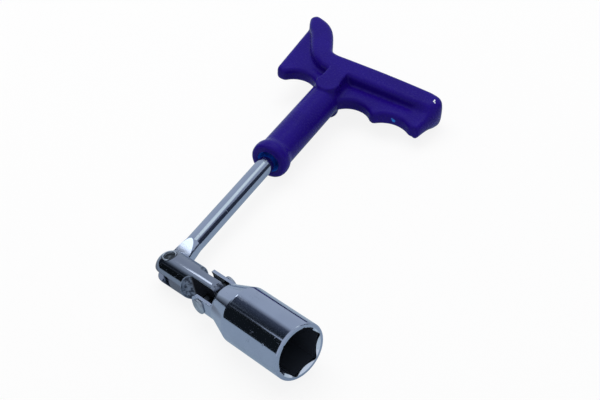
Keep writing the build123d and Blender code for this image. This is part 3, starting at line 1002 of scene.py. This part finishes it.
@dataclass(frozen=True)
class GripRubber(Finish):
    """Black moulded rubber with a fine grain.

    Attributes:
        name: Material name.
        colour: Main colour.
        bloom: Colour of its pale clouds.
        roughness: Roughness of the smoothest spots.
        cloud_rough: Roughness that a fine cloud adds.
        grain_depth: Depth of the grain.
    """

    name: str = "Grip rubber"
    colour: Colour = (0.012, 0.012, 0.013)
    bloom: Colour = (0.022, 0.022, 0.024)
    roughness: float = 0.62
    cloud_rough: float = 0.15
    grain_depth: float = 0.05 * MM

    def shade(self, nodes: NodeTree, shader: bpy.types.Node, place: Wire) -> None:
        """Wire matt rubber.

        Args:
            nodes: The material's tree.
            shader: Its Principled BSDF.
            place: Place on the surface, in the piece's own space.
        """
        clouds = Mottle().place(nodes, Vector=place, Broad=160.0, Fine=2400.0)
        nodes.feed(shader, "Base Color", nodes.blend(clouds["Broad"], self.colour, self.bloom))
        rough = nodes.math("MULTIPLY_ADD", clouds["Fine"], self.cloud_rough, self.roughness)
        nodes.feed(shader, "Roughness", rough)
        normal = nodes.bump(clouds["Fine"], strength=0.4, distance=self.grain_depth)
        nodes.feed(shader, "Normal", normal)


def linked(name: str, data: bpy.types.ID) -> bpy.types.Object:
    """Wrap a mesh, lamp or camera in an object of the scene.

    Args:
        name: The object's name.
        data: Its mesh, lamp or camera.

    Returns:
        The new object.
    """
    piece = bpy.data.objects.new(name, data)
    bpy.context.scene.collection.objects.link(piece)
    return piece


@dataclass(frozen=True)
class SoftSkin:
    """Copy of a CAD node with every edge and inner corner softened, as in a moulding.

    Attributes:
        voxel: Size of the skin's cells.
        passes: How often the skin is smoothed inwards, and as often outwards.
        inwards: Share of the way to its neighbours' mean that a point moves in one pass.
        outwards: Share by which the next pass moves it back.
        ball: Middle of the ball-shaped right end.
        ball_reach: Radius inside which that end is rounded further.
        ball_fade: Width of the band in which the rounding fades in.
        ball_passes: How often it is rounded.
    """

    voxel: float = 0.62 * MM
    passes: int = 34
    inwards: float = 0.5
    outwards: float = -0.52
    ball: Vector = PALM_CENTRE + HANDLE_ACROSS * 58.0 * MM - SHAFT_LINE * 11.0 * MM
    ball_reach: float = 16.0 * MM
    ball_fade: float = 7.0 * MM
    ball_passes: int = 110

    def make(self, node: bpy.types.Object, name: str) -> bpy.types.Object:
        """Build the soft copy.

        Args:
            node: The CAD node to copy.
            name: The copy's name.

        Returns:
            The new object.
        """
        piece = linked(name, node.data.copy())
        piece.matrix_world = node.matrix_world.copy()
        skin = piece.modifiers.new("skin", "REMESH")
        skin.mode = "VOXEL"
        skin.voxel_size = self.voxel
        graph = bpy.context.evaluated_depsgraph_get()
        mesh = bpy.data.meshes.new_from_object(piece.evaluated_get(graph))
        piece.modifiers.clear()
        piece.data = mesh
        mesh.name = name
        self.smooth(mesh, node.data)
        mesh.shade_smooth()
        return piece

    def smooth(self, mesh: bpy.types.Mesh, source: bpy.types.Mesh) -> None:
        """Even the skin out without shrinking it, inside the source's own box.

        Args:
            mesh: The mesh to smooth.
            source: The mesh whose box holds it.
        """
        count = len(mesh.vertices)
        points = np.empty(count * 3)
        mesh.vertices.foreach_get("co", points)
        points = points.reshape(count, 3)
        edges = np.empty(len(mesh.edges) * 2, dtype=np.int64)
        mesh.edges.foreach_get("vertices", edges)
        first, second = edges.reshape(-1, 2).T
        degree = np.bincount(first, minlength=count) + np.bincount(second, minlength=count)
        away = np.linalg.norm(points - np.array(self.ball), axis=1)
        ball = np.clip((self.ball_reach - away) / self.ball_fade, 0.0, 1.0)[:, None]
        rounds = [(self.inwards, 1.0), (self.outwards, 1.0)] * self.passes
        rounds += [(self.inwards, ball)] * self.ball_passes
        for share, where in rounds:
            mean = np.empty_like(points)
            for axis in range(3):
                total = np.bincount(first, weights=points[second, axis], minlength=count)
                total += np.bincount(second, weights=points[first, axis], minlength=count)
                mean[:, axis] = total / np.maximum(degree, 1)
            points += share * where * (mean - points)
        corners = np.empty(len(source.vertices) * 3)
        source.vertices.foreach_get("co", corners)
        corners = corners.reshape(-1, 3)
        points = np.clip(points, corners.min(axis=0), corners.max(axis=0))
        mesh.vertices.foreach_set("co", points.ravel())
        mesh.update()


@dataclass(frozen=True)
class Turning:
    """A lathe-turned piece, drawn as a profile round its own line.

    Attributes:
        centre: Middle of the piece.
        line: Its axis.
        steps: Faces round the axis.
        hammer: Depth of the hammer marks on its ends.
        waves: Radians per metre of the marks across, along and aslant.
        shifts: Radians by which the first two are shifted.
    """

    centre: Vector
    line: Vector
    steps: int = 72
    hammer: float = 0.0
    waves: tuple[float, float, float] = (2300.0, 1900.0, 3700.0)
    shifts: tuple[float, float] = (1.3, -0.4)

    def make(self, name: str, profile: Sequence[tuple[float, float]]) -> bpy.types.Object:
        """Turn the profile.

        Args:
            name: The object's name.
            profile: Radius and height of each point, from the upper middle to the lower
                middle.

        Returns:
            The new object.
        """
        line = self.line.normalized()
        side = line.orthogonal().normalized()
        front = line.cross(side)
        points: list[Vector] = []
        for radius, height in profile:
            for step in range(self.steps):
                turn = 2 * math.pi * step / self.steps
                arm = side * math.cos(turn) + front * math.sin(turn)
                dent = self.hammer * self.mark(radius * math.cos(turn), radius * math.sin(turn))
                level = height - math.copysign(dent, height)
                points.append(self.centre + arm * radius + line * level)
        faces: list[tuple[int, ...]] = []
        for ring in range(len(profile) - 1):
            for step in range(self.steps):
                after = (step + 1) % self.steps
                low, high = ring * self.steps, (ring + 1) * self.steps
                faces.append((low + step, high + step, high + after, low + after))
        mesh = bpy.data.meshes.new(name)
        mesh.from_pydata([tuple(point) for point in points], [], faces)
        mesh.validate()
        mesh.shade_smooth()
        return linked(name, mesh)

    def mark(self, across: float, along: float) -> float:
        """Find how deep a hammer mark is at one point.

        Args:
            across: Place across the piece.
            along: Place at right angles to that.

        Returns:
            The depth, as a share of the deepest mark.
        """
        square = math.sin(across * self.waves[0] + self.shifts[0])
        square *= math.sin(along * self.waves[1] + self.shifts[1])
        aslant = math.sin((across + along) * self.waves[2]) / 2
        return 0.5 + 0.33 * (square + aslant)


@dataclass
class Handle:
    """Moulded handle on its plated shaft."""

    body: Body = Body.HANDLE

    def build(self, nodes: dict[str, bpy.types.Object]) -> list[bpy.types.Object]:
        """Build the handle's soft skin and dress the shaft.

        Args:
            nodes: The CAD nodes by name.

        Returns:
            The pieces that show.
        """
        skin = SoftSkin().make(nodes["handle"], "handle_skin")
        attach(skin, self.body.value)
        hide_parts("handle")
        MouldedPlastic().dress(nodes["handle"])
        MouldedPlastic().dress(skin)
        ChromePlate(name="Shaft chrome", scratched=0.90).dress(nodes["shaft"])
        return [skin, nodes["shaft"]]


@dataclass
class Link:
    """Forged link with the shaft's pin.

    Attributes:
        body: The body that it rides on.
        rim_radius: Outer radius of the pin's rolled rim.
        hollow_radius: Radius of the dimple inside the rim.
        rim_top: Height of the rim from the pin's middle.
        dimple_floor: Height of the dimple's edge.
        dimple_rise: How far its middle stands up.
        dimple_wall: Height of the wall round it.
        dimple_rings: Radii of its rings, as shares of the dimple's.
        middle_ring: Radius of the tiny ring that closes its middle.
        roll_steps: Facets of the rolled rim.
        hammered: Depth of the hammer marks.
    """

    body: Body = Body.LINK
    rim_radius: float = 3.42 * MM
    hollow_radius: float = 2.72 * MM
    rim_top: float = 7.72 * MM
    dimple_floor: float = 6.55 * MM
    dimple_rise: float = 0.35 * MM
    dimple_wall: float = 0.25 * MM
    dimple_rings: tuple[float, ...] = (0.25, 0.5, 0.75, 0.92)
    middle_ring: float = 0.02 * MM
    roll_steps: int = 8
    hammered: float = 0.10 * MM

    def build(self, nodes: dict[str, bpy.types.Object]) -> list[bpy.types.Object]:
        """Dress the link and turn its hollow-ended pin.

        Args:
            nodes: The CAD nodes by name.

        Returns:
            The pieces that show.
        """
        MilledChrome(scratched=0.90).dress(nodes["link"])
        lathe = Turning(SHAFT_PIN_CENTRE, LINK_UP, hammer=self.hammered)
        pin = lathe.make("shaft_pin_eye", self.eye())
        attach(pin, self.body.value)
        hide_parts("shaft_pin")
        RivetSteel().dress(nodes["shaft_pin"])
        EyeSteel().dress(pin)
        return [nodes["link"], pin]

    def eye(self) -> list[tuple[float, float]]:
        """Draw the pin's profile: a rolled rim round a dimple at both ends.

        Returns:
            Radius and height of each point, from the upper middle to the lower middle.
        """
        middle = (self.rim_radius + self.hollow_radius) / 2
        roll = (self.rim_radius - self.hollow_radius) / 2
        half = [(self.middle_ring, self.dimple_floor + self.dimple_rise)]
        for share in self.dimple_rings:
            rise = self.dimple_rise * (1 - share * share)
            half.append((self.hollow_radius * share, self.dimple_floor + rise))
        half.append((self.hollow_radius, self.dimple_floor + self.dimple_wall))
        for step in range(self.roll_steps + 1):
            turn = math.pi * (1 - step / self.roll_steps)
            level = self.rim_top - roll + roll * math.sin(turn)
            half.append((middle + roll * math.cos(turn), level))
        return half + [(radius, -height) for radius, height in reversed(half)]


@dataclass
class Socket:
    """Swaged socket with its pin and the rubber ring."""

    body: Body = Body.SOCKET

    def build(self, nodes: dict[str, bpy.types.Object]) -> list[bpy.types.Object]:
        """Dress the socket, its pin and the ring.

        Args:
            nodes: The CAD nodes by name.

        Returns:
            The pieces that show.
        """
        BoredChrome(scratched=0.94).dress(nodes["socket"])
        CrossPinSteel().dress(nodes["socket_pin"])
        GripRubber().dress(nodes["plug_grip"])
        return [nodes["socket"], nodes["socket_pin"], nodes["plug_grip"]]


@dataclass(frozen=True)
class Flag:
    """A studio card that shows in bright metal only.

    Attributes:
        name: Object name.
        start: First direction on the ground, in degrees from +X.
        end: Last direction on the ground.
        low: Lowest height seen from the tool, in degrees.
        high: Highest height seen from the tool.
        colour: Brightness of the card at its first side.
        fades_to: Brightness at its last side.
        distance: How far the card stands from its centre.
        centre: Where the directions are taken from.
    """

    name: str
    start: float
    end: float
    low: float
    high: float
    colour: Colour
    fades_to: Colour
    distance: float = 2.0
    centre: Place = (0.04, -0.08, 0.01)


@dataclass
class Studio:
    """Floor, world, lamp, cards and camera.

    Attributes:
        floor_size: Side of the floor.
        floor_paint: Colour of the floor that takes light and shadow.
        white_share: Share of plain white in it near the tool, as the camera sees it.
        white_from: Distance from the middle at which the floor starts to turn all white.
        white_at: Distance at which it is all white.
        mirrored_share: Share of its plain colour as the metal mirrors it.
        floor_in_metal: Colour of the floor as the metal mirrors it.
        shade_in_metal: Its colour there in the joint's shade.
        shade_place: Middle of that shade, at half its place along X.
        shade_squeeze: Share of the floor's X, Y and Z at which the shade is measured.
        shade_border: Distances from its middle at which the shade starts and is full.
        sky_level: Strength of the world.
        sky_tint: Colour of the world as the metal mirrors it.
        lamp_place: Where the soft lamp hangs.
        lamp_sides: Its two sides.
        lamp_energy: Its power in watts.
        sensor: Width of the camera's sensor in millimetres.
        lens: The camera's focal length in millimetres.
        card_steps: Faces along each card.
        camera_place: Where the camera stands.
        camera_right: Direction of the picture's right side.
        camera_down: Direction of the picture's lower side.
        flags: The cards.
    """

    floor_size: float = 8.0
    floor_paint: Colour = (0.78, 0.78, 0.79)
    white_share: float = 0.87
    white_from: float = 0.16
    white_at: float = 0.70
    mirrored_share: float = 0.75
    floor_in_metal: Colour = (0.345, 0.455, 0.563)
    shade_in_metal: Colour = (0.12, 0.165, 0.22)
    shade_place: Vector = Vector((-0.008, -0.094, 0.0))
    shade_squeeze: Place = (0.5, 1.0, 1.0)
    shade_border: tuple[float, float] = (0.021, 0.013)
    sky_level: float = 0.55
    sky_tint: Colour = (1.04, 1.15, 1.34)
    lamp_place: Vector = Vector((-0.45, 0.25, 1.35))
    lamp_sides: tuple[float, float] = (1.5, 1.1)
    lamp_energy: float = 16.0
    sensor: float = 36.0
    lens: float = 81.7212
    card_steps: int = 16
    camera_place: Vector = Vector((0.390028, -0.340461, 0.422048))
    camera_right: Vector = Vector((0.675376, 0.73679, -0.031746))
    camera_down: Vector = Vector((0.449408, -0.445316, -0.77442))
    flags: tuple[Flag, ...] = (
        Flag("flag_fade", 158, 176, 42.5, 53, (0.56, 0.62, 0.73), (0.07, 0.085, 0.125)),
        Flag("flag_navy", 176, 206, 42.5, 53, (0.07, 0.085, 0.125), (0.018, 0.024, 0.034)),
        Flag("flag_left_fade", 186, 206, 27, 42.5, (0.51, 0.59, 0.69), (0.018, 0.024, 0.034)),
        Flag("flag_left_low", 181, 191, -2, 27, (0.50, 0.56, 0.64), (0.020, 0.024, 0.036)),
        Flag("flag_left_dark", 191, 206, -2, 27, (0.020, 0.024, 0.036), (0.018, 0.022, 0.030)),
        Flag("flag_dark", 206, 212, -2, 47, (0.018, 0.024, 0.034), (0.022, 0.030, 0.040)),
        Flag("flag_seam", 212, 214, -2, 42, (0.085, 0.09, 0.10), (0.07, 0.08, 0.10)),
        Flag("flag_black", 214, 242, -1, 37, (0.010, 0.013, 0.014), (0.011, 0.014, 0.018)),
        Flag("flag_right", 48, 66, -2, 38, (0.018, 0.025, 0.042), (0.05, 0.06, 0.09)),
        Flag("flag_right_top", 60, 78, 38, 47, (0.10, 0.12, 0.18), (0.52, 0.55, 0.66)),
        Flag("flag_horizon", 112, 142, -2.5, 0.5, (0.062, 0.078, 0.19), (0.062, 0.078, 0.19)),
        Flag("card_top", 78, 125, 49, 62, (1.2, 1.3, 1.25), (1.2, 1.3, 1.25)),
        Flag(
            "card_flat", 164, 178, 42, 54, (2.4, 2.5, 2.6), (2.4, 2.5, 2.6), 0.25,
            (0.002, -0.072, 0.012),
        ),
    )

    def build(self) -> None:
        """Build the whole set."""
        self.floor()
        self.world()
        self.lamps()
        for flag in self.flags:
            self.card(flag)
        self.camera()

    def mesh(
        self, name: str, points: Sequence[Sequence[float]], faces: Iterable[Sequence[int]]
    ) -> bpy.types.Object:
        """Make a stage piece from points and faces.

        Args:
            name: The object's name.
            points: Its corners.
            faces: Its faces, as numbers of corners.

        Returns:
            The new object.
        """
        data = bpy.data.meshes.new(name)
        data.from_pydata([tuple(point) for point in points], [], [tuple(face) for face in faces])
        piece = linked(name, data)
        return piece

    def floor(self) -> None:
        """Lay a pale floor that is white to the camera and keeps the shadow."""
        half = self.floor_size / 2
        corners = [(-half, -half, 0), (half, -half, 0), (half, half, 0), (-half, half, 0)]
        floor = self.mesh("floor", corners, [(0, 1, 2, 3)])
        material = bpy.data.materials.new("Pale floor")
        material.use_nodes = True
        nodes = NodeTree(material.node_tree)
        nodes.tree.nodes.clear()
        paper = nodes.add("ShaderNodeBsdfDiffuse", Color=self.floor_paint)
        path = nodes.add("ShaderNodeLightPath")
        place = nodes.add("ShaderNodeTexCoord").outputs["Object"]
        squeezed = nodes.vector("MULTIPLY", place, self.shade_squeeze).outputs[0]
        shade = nodes.ramp(nodes.distance(squeezed, self.shade_place), *self.shade_border)
        in_metal = nodes.blend(shade, self.floor_in_metal, self.shade_in_metal)
        tint = nodes.blend(path.outputs["Is Glossy Ray"], (1.0, 1.0, 1.0), in_metal)
        white = nodes.add("ShaderNodeEmission", Color=tint, Strength=1.0)
        away = nodes.vector("LENGTH", place).outputs["Value"]
        plain = nodes.ramp(away, self.white_from, self.white_at, self.white_share, 1.0)
        seen = nodes.math("MULTIPLY", path.outputs["Is Camera Ray"], plain)
        rays = (path.outputs["Is Glossy Ray"], path.outputs["Is Transmission Ray"])
        mirrored = nodes.math("MAXIMUM", *rays)
        in_mirror = nodes.math("MULTIPLY", mirrored, self.mirrored_share)
        share = nodes.math("MAXIMUM", seen, in_mirror)
        both = nodes.add("ShaderNodeMixShader")
        nodes.feed(both, 0, share)
        nodes.feed(both, 1, paper.outputs[0])
        nodes.feed(both, 2, white.outputs[0])
        out = nodes.add("ShaderNodeOutputMaterial")
        nodes.feed(out, "Surface", both.outputs[0])
        floor.data.materials.append(material)

    def world(self) -> None:
        """Fill the set with even light, white where the camera looks past the floor."""
        world = bpy.data.worlds.new("Studio")
        bpy.context.scene.world = world
        world.use_nodes = True
        nodes = NodeTree(world.node_tree)
        nodes.tree.nodes.clear()
        path = nodes.add("ShaderNodeLightPath")
        level = nodes.math("MAXIMUM", self.sky_level, path.outputs["Is Camera Ray"])
        tint = nodes.blend(path.outputs["Is Glossy Ray"], (1.0, 1.0, 1.0), self.sky_tint)
        light = nodes.add("ShaderNodeBackground", Color=tint)
        nodes.feed(light, "Strength", level)
        out = nodes.add("ShaderNodeOutputWorld")
        nodes.feed(out, "Surface", light.outputs[0])

    def lamps(self) -> None:
        """Hang one large soft lamp over the tool."""
        lamp = bpy.data.lights.new("overhead_softbox", "AREA")
        lamp.shape = "RECTANGLE"
        lamp.size, lamp.size_y = self.lamp_sides
        lamp.energy = self.lamp_energy
        holder = linked("overhead_softbox", lamp)
        holder.location = self.lamp_place
        holder.rotation_euler = (-self.lamp_place).to_track_quat("-Z", "Y").to_euler()
        holder.visible_glossy = False

    def card(self, flag: Flag) -> None:
        """Stand one card round the tool, seen only in reflections.

        Args:
            flag: The card's place and brightness.
        """
        steps = self.card_steps
        points: list[Place] = []
        tones: list[float] = []
        for step in range(steps + 1):
            turn = math.radians(flag.start + (flag.end - flag.start) * step / steps)
            tone = Vector(flag.colour).lerp(Vector(flag.fades_to), step / steps)
            tones += [*tone, 1.0] * 2
            for height in (flag.low, flag.high):
                rise = math.radians(height)
                level = Vector((math.cos(turn), math.sin(turn), 0.0)) * math.cos(rise)
                way = level + Vector((0.0, 0.0, math.sin(rise)))
                points.append(tuple(Vector(flag.centre) + way * flag.distance))
        faces = [(2 * step, 2 * step + 2, 2 * step + 3, 2 * step + 1) for step in range(steps)]
        card = self.mesh(flag.name, points, faces)
        shades = card.data.color_attributes.new("tone", "FLOAT_COLOR", "POINT")
        shades.data.foreach_set("color", tones)
        card.visible_camera = False
        card.visible_diffuse = False
        card.visible_shadow = False
        card.visible_transmission = False
        material = bpy.data.materials.new(flag.name)
        material.use_nodes = True
        nodes = NodeTree(material.node_tree)
        nodes.tree.nodes.clear()
        tone = nodes.add("ShaderNodeVertexColor", layer_name="tone").outputs["Color"]
        glow = nodes.add("ShaderNodeEmission", Color=tone, Strength=1.0)
        out = nodes.add("ShaderNodeOutputMaterial")
        nodes.feed(out, "Surface", glow.outputs[0])
        card.data.materials.append(material)

    def camera(self) -> None:
        """Stand the camera where the photographer stood."""
        data = bpy.data.cameras.new("camera")
        data.sensor_fit = "HORIZONTAL"
        data.sensor_width = self.sensor
        data.lens = self.lens
        data.clip_start = 0.01
        camera = linked("camera", data)
        right = self.camera_right.normalized()
        up = -self.camera_down.normalized()
        back = right.cross(up).normalized()
        up = back.cross(right)
        turn = Matrix((right, up, back)).transposed().to_4x4()
        camera.matrix_world = Matrix.Translation(self.camera_place) @ turn
        bpy.context.scene.camera = camera


def main() -> None:
    """Load the frame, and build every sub-assembly and the studio."""
    logging.basicConfig(level=logging.INFO, format="%(name)s: %(message)s")
    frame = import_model()
    bpy.context.scene.view_settings.view_transform = "Standard"
    for assembly in (Handle(), Link(), Socket()):
        for piece in assembly.build(frame["nodes"]):
            log.info("%s: %s on %s", type(assembly).__name__, piece.name, assembly.body.value)
    Studio().build()


if __name__ == "__main__":
    main()
